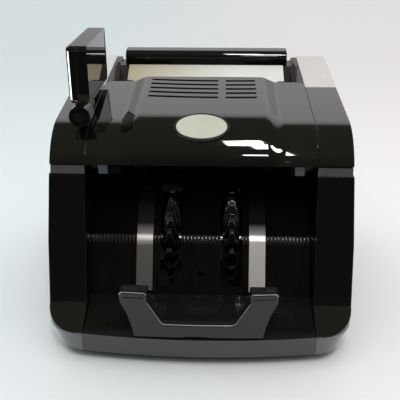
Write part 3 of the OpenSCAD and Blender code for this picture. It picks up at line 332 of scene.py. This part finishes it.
# %% Edge wear
wear_patch = 6 * mm
wear, given, gives = start_group("edge_wear", {"Place": "Vector", "Radius": "Float"}, ["Wear"])
rounded = add(wear, "Bevel", {"Radius": given["Radius"]}, samples=4).outputs[0]
true_normal = add(wear, "NewGeometry").outputs["Normal"]
normals = {0: rounded, 1: true_normal}
agree = add(wear, "VectorMath", normals, operation="DOT_PRODUCT").outputs["Value"]
edge = ramp(wear, agree, 0.99, 0.85)
spots = scaled(wear, given["Place"], wear_patch)
patches = add(wear, "TexNoise", {"Vector": spots, "Scale": 1, "Detail": 4}).outputs[0]
torn = ramp(wear, patches, 0.4, 0.65)
wear.links.new(maths(wear, "MULTIPLY", edge, torn), gives["Wear"])
print("group:", wear.name)

# %% [markdown]
# The stacker's back plate and its two strips curl back above a crest, and the light runs along that crest
# as one thin line. The solids are flatter there, so this group gives a height that leans the shading: a
# small drop up to the crest, a curl just above it, and a steady lean further up.

# %% Curl above the crest
foot_reach, foot_depth = 2 * mm, 0.18 * mm
curl_reach, first_slope, curl_rate = 4 * mm, 0.23, 82.0
upper_lean = 0.42
curl, given, gives = start_group("crest_curl", {"Place": "Vector", "Crest": "Float"}, ["Height"])
above = maths(curl, "SUBTRACT", along(curl, given["Place"], "Z"), given["Crest"])
foot = ramp(curl, above, -foot_reach, 0)
foot_drop = maths(curl, "POWER", foot, 2)
back = maths(curl, "MAXIMUM", above, 0)
near = maths(curl, "MINIMUM", back, curl_reach)
far = maths(curl, "SUBTRACT", back, near)
near_square = maths(curl, "MULTIPLY", near, near)
rise = maths(curl, "MULTIPLY", near, first_slope)
bent = maths(curl, "MULTIPLY_ADD", near_square, -curl_rate, rise)
leaning = maths(curl, "MULTIPLY_ADD", far, -upper_lean, bent)
curl.links.new(maths(curl, "MULTIPLY_ADD", foot_drop, -foot_depth, leaning), gives["Height"])
print("groups:", [group.name for group in bpy.data.node_groups])

# %% [markdown]
# The plastics differ in gloss more than in colour, so one function makes them all: a dark base, gloss that
# handling makes uneven, paler worn edges, a few specks of dust and a low bump. A finish can have a paler
# band near the floor with a clear coat of its own: the coat is real gloss, and the paler colour is painted
# reflection of the pale table.

# %% One function for plastics
finishes = {}
dust_colour = (0.25, 0.24, 0.22, 1)
smear_size, worn_radius, worn_share = 30 * mm, 0.6 * mm, 0.35
band_fade = 0.5 * mm


def use_group(tree, group, inputs):
    return add(tree, "Group", inputs, node_tree=group).outputs


def plastic(name, colour, worn, gloss, grain_size, bump, dust=0.25, mirror=0.5, table_reflection_band=None):
    material, tree, shader, place = start_finish(name, Specular_IOR_Level=mirror)
    marks = use_group(tree, handling, {"Place": place, "Size": smear_size})
    edges = use_group(tree, wear, {"Place": place, "Radius": worn_radius})
    relief = use_group(tree, grain, {"Place": place, "Size": grain_size})
    base = blend_colour(tree, maths(tree, "MULTIPLY", edges["Wear"], worn_share), colour, worn)
    # The paler colour near the floor is painted reflection of the pale table; the clear coat is real gloss.
    if table_reflection_band:
        band_top, reflection_colour = table_reflection_band
        below = ramp(tree, along(tree, place, "Z"), band_top + band_fade, band_top)
        base = blend_colour(tree, below, base, reflection_colour)
        tree.links.new(below, shader.inputs["Coat Weight"])
    dusty = maths(tree, "MULTIPLY", marks["Specks"], dust)
    tree.links.new(blend_colour(tree, dusty, base, dust_colour), shader.inputs["Base Color"])
    dull = maths(tree, "ADD", between(tree, marks["Smear"], *gloss), dusty)
    tree.links.new(dull, shader.inputs["Roughness"])
    heights = {"Height": relief["Height"], "Strength": bump, "Distance": grain_size / 8}
    tree.links.new(add(tree, "Bump", heights).outputs["Normal"], shader.inputs["Normal"])
    finishes[name] = material


print("plastic needs: name, colour, worn edge, gloss range, grain size, bump")

# %% [markdown]
# The hood and the display are polished, and the side cases a little less so. The note stop is slightly
# greyer. Parts inside have a satin grain. Most finishes bear the names of the record's material slots. The
# white and red ones are on small parts inside or at the back, and are kept much darker than their names say;
# for the parts inside that darkness is painted shade. A near-black with little mirror is painted shade too,
# and a pale grey is a painted highlight for rounded edges.

# %% Plastic finishes
smooth_grain = 9 * mm
# Painted reflection: the side cases are paler near the floor, where they mirror the table.
painted_table_reflection = (20 * mm, grey(0.05, -0.04))
polish = {"grain_size": smooth_grain, "bump": 0.01}
plastic("gloss_black", grey(0.004, 0.08), grey(0.05, 0.05), (0.02, 0.05), mirror=1.0, **polish)
plastic("stop_black", grey(0.014, 0.02), grey(0.03, 0.02), (0.05, 0.09), **polish)
plastic("side_black", grey(0.004, 0.05), grey(0.05, 0.05), (0.03, 0.07), mirror=1.0, table_reflection_band=painted_table_reflection,
        **polish)
plastic("satin_black", grey(0.014, 0.04), grey(0.06, 0.05), (0.28, 0.42), 0.6 * mm, 0.12)
plastic("pale_clip", (0.055, 0.07, 0.076, 1), grey(0.2), (0.25, 0.4), 2 * mm, 0.03, dust=0.05)
# The white and red finishes are kept much darker than their names say; for the parts inside this is painted
# shade.
plastic("white_plastic", grey(0.03, 0.03), grey(0.08), (0.3, 0.45), 1 * mm, 0.05, dust=0.05)
plastic("rocker_red", grey(0.016, 0.1), grey(0.06), (0.18, 0.3), 2 * mm, 0.04)
# Painted shade: a near-black with little mirror for pieces that sit deep in shade.
plastic("painted_shade_black", grey(0.003), grey(0.01), (0.3, 0.4), 2 * mm, 0.02, mirror=0.1)
# Painted highlight: a pale grey for rounded edges that face up and forward, where windows would shine.
plastic("stop_edge_highlight", grey(0.3), grey(0.45), (0.2, 0.35), 3 * mm, 0.02)
plastic("sensor_red", (0.006, 0.003, 0.003, 1), (0.1, 0.02, 0.02, 1), (0.05, 0.1), 2 * mm, 0.02)
plastic("board_green", (0.012, 0.09, 0.04, 1), (0.2, 0.3, 0.2, 1), (0.25, 0.4), 3 * mm, 0.05)
print("plastics:", list(finishes))

# %% [markdown]
# The front tray is one moulding: the bowed skirt outside is a grey gloss, and the floor of the stacker
# inside is a darker warm black, which is painted shade. The rim between them lies at one height, so a short
# ramp parts them.

# %% Tray skirt and floor
skirt_rim, floor_start = 20.2 * mm, 21 * mm
skirt, tree, shader, place = start_finish("skirt_black", Specular_IOR_Level=1.0)
stacker_floor_shade = ramp(tree, along(tree, place, "Z"), skirt_rim, floor_start)
marks = use_group(tree, handling, {"Place": place, "Size": smear_size})
outer = blend_colour(tree, marks["Smear"], grey(0.012), grey(0.016))
# Painted shade: the floor inside the stacker is darker than the skirt.
tree.links.new(blend_colour(tree, stacker_floor_shade, outer, (0.009, 0.0085, 0.007, 1)), shader.inputs["Base Color"])
tree.links.new(between(tree, marks["Smear"], 0.05, 0.09), shader.inputs["Roughness"])
finishes["skirt_black"] = skirt
print("tray parts at", round(skirt_rim / mm, 1), "mm above the feet")

# %% [markdown]
# The back plate of the stacker is finely ribbed, and on its crest every rib catches the light, so the line
# there is a row of dots. A sine across the plate stands for the ribs. Their tops are glossy, and near the
# crest the grooves are matt. Above the crest the plate is plain, and the curl group leans it.

# %% Ribbed back plate
rib_pitch, rib_height, plate_crest = 3.27 * mm, 0.05 * mm, 73.6 * mm
matt_from, matt_full = 70 * mm, 72 * mm
plain_from, plain_full, ribs_end = 75 * mm, 77 * mm, 80 * mm
glossy = 0.09
tray, tree, shader, place = start_finish("tray_black")
marks = use_group(tree, handling, {"Place": place, "Size": smear_size})
spot = add(tree, "SeparateXYZ", {0: place}).outputs
swing = maths(tree, "SINE", maths(tree, "MULTIPLY", spot["X"], 2 * math.pi / rib_pitch))
rib_top = ramp(tree, swing, -0.4, 0.5)
plain = ramp(tree, spot["Z"], plain_from, plain_full)
shiny = maths(tree, "MAXIMUM", rib_top, plain)
matt = between(tree, ramp(tree, spot["Z"], matt_from, matt_full), 0.18, 0.75)
tree.links.new(add(tree, "Mix", {0: shiny, 2: matt, 3: glossy}).outputs[0], shader.inputs["Roughness"])
black = blend_colour(tree, marks["Smear"], grey(0.003, 0.05), grey(0.005, 0.05))
tree.links.new(black, shader.inputs["Base Color"])
rib = maths(tree, "MULTIPLY", swing, ramp(tree, spot["Z"], ribs_end, plain_full))
bend = use_group(tree, curl, {"Place": place, "Crest": plate_crest})
height = maths(tree, "MULTIPLY_ADD", rib, rib_height, bend["Height"])
raised = add(tree, "Bump", {"Height": height, "Strength": 1, "Distance": 1})
tree.links.new(raised.outputs["Normal"], shader.inputs["Normal"])
finishes["tray_black"] = tray
print("ribs in 100 mm of the plate:", round(100 * mm / rib_pitch))

# %% [markdown]
# Rubber is matt and has a fine tooth, and its edges go pale where notes and belts rub. The same groups
# serve, only with more grain and a rougher surface, so rubber is the plastic function with other values.
# The stacker's wheels are a harder, shinier rubber, and the paler grey on their finger edges is a painted
# highlight.

# %% Rubber finishes
tooth = {"grain_size": 0.5 * mm, "bump": 0.3}
plastic("black_rubber", grey(0.012, 0.03), grey(0.08, 0.05), (0.45, 0.62), **tooth)
plastic("feed_rubber", (0.26, 0.055, 0.022, 1), (0.45, 0.14, 0.07, 1), (0.5, 0.68), **tooth)
plastic("roller_rubber", grey(0.012, 0.05), grey(0.04, 0.05), (0.5, 0.65), **tooth)
plastic("wheel_rubber", grey(0.006, 0.03), grey(0.03, 0.05), (0.12, 0.2), 2 * mm, 0.05)
# Painted highlight: a paler grey for the wheels' finger edges.
plastic("wheel_edge_highlight", grey(0.035, 0.02), grey(0.08), (0.15, 0.25), 3 * mm, 0.02)
print("finishes so far:", len(finishes))

# %% [markdown]
# Metal shows the room even more than gloss plastic does, and brushing stretches that reflection along one
# direction. The brushed lines vary colour and roughness. A metal can take a tint by place, which on the guide
# strips includes painted shade, and the curl for a piece that is bent over the crest.

# %% One function for metals
line_depth, metal_smear = 0.2 * mm, 25 * mm


def metal(name, colour, dark, shine, stretch, bump=0.02, metallic=1.0, tint=None, crest=None):
    material, tree, shader, place = start_finish(name, Metallic=metallic)
    lines = use_group(tree, brushed, {"Place": place, "Stretch": stretch})["Lines"]
    marks = use_group(tree, handling, {"Place": place, "Size": metal_smear})
    base = blend_colour(tree, maths(tree, "MULTIPLY", lines, marks["Smear"]), colour, dark)
    if tint:
        base = tint(tree, place, base)
    tree.links.new(base, shader.inputs["Base Color"])
    tree.links.new(between(tree, lines, *shine), shader.inputs["Roughness"])
    raised = add(tree, "Bump", {"Height": lines, "Strength": bump, "Distance": line_depth})
    if crest:
        bend = use_group(tree, curl, {"Place": place, "Crest": crest})
        leaned = add(tree, "Bump", {"Height": bend["Height"], "Strength": 1, "Distance": 1})
        tree.links.new(leaned.outputs["Normal"], raised.inputs["Normal"])
    tree.links.new(raised.outputs["Normal"], shader.inputs["Normal"])
    finishes[name] = material


print("metal needs: name, light and dark colour, shine range, stretch of the lines")

# %% [markdown]
# The feed plate turns yellower towards its left. The guide strips go near black above the crest, which is
# painted shade from the hood, and the left strip is darker than the right one below the crest. Both are masks
# by place on the piece.

# %% Tones of the steel
left_yellow, painted_hood_shadow, left_dark_colour = (0.55, 0.5, 0.32, 1), grey(0.012), (0.1, 0.09, 0.08, 1)
shadow_from, shadow_full = 76 * mm, 85 * mm
left_dark_from, left_dark_full = 73 * mm, 69 * mm


# The feed plate turns yellower towards its left.
def feed_left_yellow(tree, place, base):
    left = ramp(tree, along(tree, place, "X"), 30 * mm, -80 * mm)
    return blend_colour(tree, left, base, left_yellow)


def strip_shade_and_left_dark(tree, place, base):
    spot = add(tree, "SeparateXYZ", {0: place}).outputs
    # Painted shade: above the crest the hood shades the strips, so their colour goes near black.
    hood_shadow = ramp(tree, spot["Z"], shadow_from, shadow_full)
    base = blend_colour(tree, hood_shadow, base, painted_hood_shadow)
    # The left strip is darker than the right one below the crest.
    left = ramp(tree, spot["X"], 20 * mm, -20 * mm)
    lower = ramp(tree, spot["Z"], left_dark_from, left_dark_full, 0.2, 0.85)
    return blend_colour(tree, maths(tree, "MULTIPLY", left, lower), base, left_dark_colour)


print("tints:", feed_left_yellow.__name__, strip_shade_and_left_dark.__name__)

# %% [markdown]
# Bright strips and a pale feed plate face the camera. The rest of the metal is inside: ground shafts, zinc
# on the frames and motor, the laminated core of the transformer, and a brass pulley. The badge is a satin
# silver plate that is left bare.

# %% Metal finishes
strip_crest = 74.5 * mm
along_slope, across_width, even = (6000, 150, 150), (150, 5000, 5000), (900, 900, 900)
around_shaft, laminated = (6000, 400, 400), (60, 4000, 60)
metal("bright_steel", grey(0.92, 0.03), grey(0.75, 0.04), (0.34, 0.44), along_slope, metallic=0.75,
      tint=strip_shade_and_left_dark, crest=strip_crest)
metal("feed_steel", (1.0, 1.0, 0.95, 1), (0.9, 0.89, 0.82, 1), (0.3, 0.48), across_width, metallic=0.2,
      tint=feed_left_yellow)
metal("shaft_steel", grey(0.6, 0.01), grey(0.42), (0.12, 0.3), around_shaft)
metal("zinc_plate", grey(0.12, 0.01), grey(0.07, 0.03), (0.45, 0.65), even)
metal("core_steel", grey(0.05, 0.05), grey(0.03, 0.05), (0.5, 0.7), laminated)
metal("pulley_brass", (0.72, 0.5, 0.2, 1), (0.5, 0.32, 0.1, 1), (0.2, 0.35), even)
metal("badge_silver", (0.66, 0.67, 0.55, 1), (0.56, 0.57, 0.46, 1), (0.3, 0.42), across_width, metallic=0.1)
print("metals done, finishes:", len(finishes))

# %% [markdown]
# The silver covers are plastic with a metallic paint. Fine flakes in the paint sparkle at random, so a
# cell pattern tilts the tone from flake to flake, under a clear coat that stays smooth.

# %% Silver paint
flake_size = 0.6 * mm
clear_coat = {"Coat_Roughness": 0.1, "Coat_Weight": 0.4}
silver, tree, shader, place = start_finish("silver_plastic", Metallic=0.35, **clear_coat)
cells = add(tree, "TexVoronoi", {"Vector": scaled(tree, place, flake_size), "Scale": 1}).outputs["Color"]
flake = add(tree, "SeparateColor", {0: cells}).outputs[0]
marks = use_group(tree, handling, {"Place": place, "Size": 40 * mm})
sparkle = blend_colour(tree, flake, (0.58, 0.54, 0.52, 1), (0.68, 0.64, 0.62, 1))
tree.links.new(sparkle, shader.inputs["Base Color"])
tree.links.new(between(tree, marks["Smear"], 0.32, 0.45), shader.inputs["Roughness"])
finishes["silver_plastic"] = silver
print("flake size in mm:", round(flake_size / mm, 2))

# %% [markdown]
# The display's window is a dark glossy sheet. It is nearly a mirror, so only fingerprints vary it.

# %% Display window
window, tree, shader, place = start_finish("window_black", Specular_IOR_Level=1.0)
marks = use_group(tree, handling, {"Place": place, "Size": 20 * mm})
smoked = blend_colour(tree, marks["Smear"], grey(0.006), grey(0.012))
tree.links.new(smoked, shader.inputs["Base Color"])
tree.links.new(between(tree, marks["Smear"], 0.02, 0.07), shader.inputs["Roughness"])
finishes["window_black"] = window
print("slots without a finish:", set(slot_of.values()) - set(finishes))

# %% [markdown]
# A CAD model has knife edges, and nothing moulded or pressed has them: light always catches a small
# radius. So each node is copied, its loose triangles are merged and flat ones joined. A few edges that the
# caller picks get a large rounding in the mesh, and the part of it that faces up and forward may get a
# painted highlight.

# %% Copy a node and round its chosen edges
weld_gap, flat_angle = 0.002 * mm, math.radians(0.4)


def faces_up_and_forward(normal):
    return normal.z > 0.2 and -0.82 < normal.y < -0.5


def round_edges(work, chooser, width, shining):
    chosen = [line for line in work.edges if len(line.link_faces) == 2 and chooser(line)]
    made = bmesh.ops.bevel(work, geom=chosen, offset=width, offset_type="OFFSET", segments=4, profile=0.5,
                           affect="EDGES", clamp_overlap=False, material=-1)
    work.normal_update()
    for face in made["faces"]:
        # Painted highlight: rounded faces turned up and forward take the second, pale finish.
        if shining and faces_up_and_forward(face.normal):
            face.material_index = 1


def copy_of_node(node, looks, rounding):
    mesh = frame["nodes"][node].data.copy()
    mesh.name = node + "_dressed"
    mesh.materials.clear()
    for finish in looks:
        mesh.materials.append(finishes[finish])
    work = bmesh.new()
    work.from_mesh(mesh)
    bmesh.ops.remove_doubles(work, verts=work.verts, dist=weld_gap)
    bmesh.ops.dissolve_limit(work, angle_limit=flat_angle, verts=work.verts, edges=work.edges)
    if rounding:
        chooser, width = rounding
        round_edges(work, chooser, width, len(looks) > 1)
    work.to_mesh(mesh)
    work.free()
    return mesh


print("nodes to dress:", len(slot_of))

# %% [markdown]
# A Bevel modifier then softens every sharp edge that is left, and weighted normals keep the big flat faces
# flat. Where no edge was rounded in the mesh, a painted highlight goes on the bevel itself. The copy stands
# for its node, rides on the node's body, and takes the finish of its slot unless it has one of its own.

# %% Soften a copy and let it ride
sharp_angle = math.radians(30)


def dress(node, edge, segments=2, rounding=None, finish=None, painted_highlight=None):
    looks = [finish or slot_of[node]] + ([painted_highlight] if painted_highlight else [])
    mesh = copy_of_node(node, looks, rounding)
    for face in mesh.polygons:
        face.use_smooth = True
    mesh.set_sharp_from_angle(angle=sharp_angle)
    piece = bpy.data.objects.new(node + "_dressed", mesh)
    bpy.context.scene.collection.objects.link(piece)
    soft = piece.modifiers.new("soft_edges", "BEVEL")
    soft.width = edge
    soft.segments = segments
    soft.limit_method = "ANGLE"
    soft.angle_limit = sharp_angle
    soft.harden_normals = True
    if painted_highlight and not rounding:
        soft.material = 1
    flat = piece.modifiers.new("flat_faces", "WEIGHTED_NORMAL")
    flat.keep_sharp = True
    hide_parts(node)
    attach(piece, body_of[node])


print("bodies to ride on:", sorted(set(body_of.values())))

# %% [markdown]
# The note stop has a wide rounding along its front outline and on top of its ears, but not in the finger
# grooves. The back half of the display is rounded all along its rim, and mirrors the side glass there.
# Each chooser looks at the two faces that meet at an edge.

# %% Which edges are rounded
stop_foot, ear_height = 22 * mm, 62 * mm
nearly_flat = 0.8


def stop_outline(line):
    one, other = [face.normal for face in line.link_faces]
    middle = (line.verts[0].co + line.verts[1].co) / 2
    in_groove = 56 * mm < middle.z < 60 * mm and 43 * mm < abs(middle.x) < 63 * mm
    if in_groove or middle.z < stop_foot or one.dot(other) > nearly_flat:
        return False
    faces_front = (one.y < -0.9) != (other.y < -0.9)
    on_top = (one.z > 0.95) != (other.z > 0.95) and middle.z > ear_height
    return faces_front or on_top


def display_back_rim(line):
    one, other = [face.normal for face in line.link_faces]
    return (one.x < -0.9) != (other.x < -0.9)


# Painted highlight: the wheels' bevels take the paler edge colour.
wheel_looks = {"edge": 0.5 * mm, "segments": 3, "finish": "wheel_rubber", "painted_highlight": "wheel_edge_highlight"}
# Painted shade: these pieces take the near-black with little mirror.
shaded_looks = {"edge": 0.2 * mm, "finish": "painted_shade_black"}
# Painted highlight: the note stop's rounded edges take the pale edge colour.
special_looks = {
    "note_stop": {"edge": 0.3 * mm, "rounding": (stop_outline, 1.6 * mm), "finish": "stop_black",
                  "painted_highlight": "stop_edge_highlight"},
    "left_stacker_wheel": wheel_looks, "right_stacker_wheel": wheel_looks,
    "display_back_case": {"edge": 0.3 * mm, "rounding": (display_back_rim, 3.5 * mm)},
    "front_tray": {"edge": 0.4 * mm, "finish": "skirt_black"},
    "display_pin": shaded_looks, "base_pan": shaded_looks, "drive_rollers": shaded_looks,
}
print("nodes with looks of their own:", list(special_looks))

# %% [markdown]
# The covers have edges as soft as their mouldings, and sheet steel has hardly any. Everything else, mostly
# inside, gets a small standard edge, so that no piece is left as the bare CAD solid.

# %% Dress every node
cover_edges = {
    "left_side_case": 0.8, "right_side_case": 0.8, "left_upper_case": 0.8, "right_upper_case": 0.8,
    "left_rear_cover": 0.8, "right_rear_cover": 0.8, "hood": 0.7, "hood_clips": 0.4, "badge_bezel": 0.5,
    "badge_plate": 0.4, "hopper_bar": 0.6, "hopper_tray": 0.4, "stacker_back_plate": 0.15,
    "feed_plate": 0.2, "left_guide_strip": 0.15, "right_guide_strip": 0.15, "display_front_case": 0.8,
    "display_window": 0.3,
}
standard_edge = 0.2
for node, looks in special_looks.items():
    dress(node, **looks)
for node, edge in cover_edges.items():
    dress(node, edge * mm)
for node in sorted(set(slot_of) - set(cover_edges) - set(special_looks)):
    dress(node, standard_edge * mm)
print("dressed nodes:", len(slot_of))
